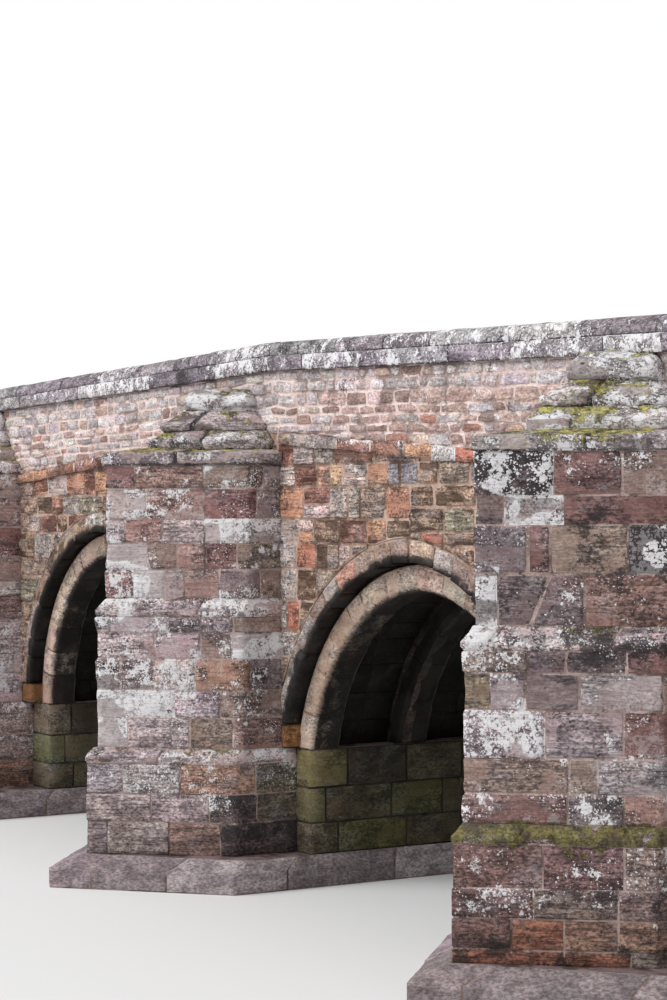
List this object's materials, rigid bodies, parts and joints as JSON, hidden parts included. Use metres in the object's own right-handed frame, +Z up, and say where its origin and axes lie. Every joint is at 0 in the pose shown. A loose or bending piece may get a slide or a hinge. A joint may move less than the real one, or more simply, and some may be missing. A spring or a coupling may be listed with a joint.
{
  "type": "medieval stone arch bridge",
  "caption": "Medieval sandstone bridge with ribbed pointed arches, piers with angled stepped cutwaters, rubble parapets and moulded coping.",
  "frame": {"origin": "under the middle pier, on the bridge's centre line, at the foot of the footings", "axes": "+X along the bridge, to the right seen from the downstream side; +Y across it, upstream; +Z up"},
  "size_m": [25, 8.014, 4.8201],
  "materials": {
    "pier_ashlar": "rough",
    "cap_stone": "rough",
    "footing_stone": "rough",
    "arch_stone": "rough",
    "rib_stone": "rough",
    "vault_stone": "rough",
    "spandrel_ashlar": "rough",
    "parapet_rubble": "rough",
    "coping_stone": "rough",
    "fill_rubble": "rough",
    "road_gravel": "rough"
  },
  "bodies": {
    "root": {"left_pier_footing": "footing_stone", "left_pier_shaft": "pier_ashlar", "left_pier_downstream_cutwater": "pier_ashlar", "left_pier_upstream_cutwater": "pier_ashlar", "left_pier_cutwater_caps": "cap_stone", "middle_pier_footing": "footing_stone", "middle_pier_shaft": "pier_ashlar", "middle_pier_downstream_cutwater": "pier_ashlar", "middle_pier_upstream_cutwater": "pier_ashlar", "middle_pier_cutwater_caps": "cap_stone", "right_pier_footing": "footing_stone", "right_pier_shaft": "pier_ashlar", "right_pier_downstream_cutwater": "pier_ashlar", "right_pier_upstream_cutwater": "pier_ashlar", "right_pier_cutwater_caps": "cap_stone", "far_left_arch_outer_orders": "arch_stone", "far_left_arch_ribs": "rib_stone", "far_left_arch_vault": "vault_stone", "far_left_arch_fill": "fill_rubble", "far_left_arch_downstream_spandrel": "spandrel_ashlar", "far_left_arch_upstream_spandrel": "spandrel_ashlar", "left_arch_outer_orders": "arch_stone", "left_arch_ribs": "rib_stone", "left_arch_vault": "vault_stone", "left_arch_fill": "fill_rubble", "left_arch_downstream_spandrel": "spandrel_ashlar", "left_arch_upstream_spandrel": "spandrel_ashlar", "right_arch_outer_orders": "arch_stone", "right_arch_ribs": "rib_stone", "right_arch_vault": "vault_stone", "right_arch_fill": "fill_rubble", "right_arch_downstream_spandrel": "spandrel_ashlar", "right_arch_upstream_spandrel": "spandrel_ashlar", "far_right_arch_outer_orders": "arch_stone", "far_right_arch_ribs": "rib_stone", "far_right_arch_vault": "vault_stone", "far_right_arch_fill": "fill_rubble", "far_right_arch_downstream_spandrel": "spandrel_ashlar", "far_right_arch_upstream_spandrel": "spandrel_ashlar", "road_surface": "road_gravel", "downstream_parapet": "parapet_rubble", "downstream_string_course": "coping_stone", "downstream_coping": "coping_stone", "upstream_parapet": "parapet_rubble", "upstream_string_course": "coping_stone", "upstream_coping": "coping_stone", "left_abutment": "pier_ashlar", "right_abutment": "pier_ashlar"}
  },
  "joints": []
}
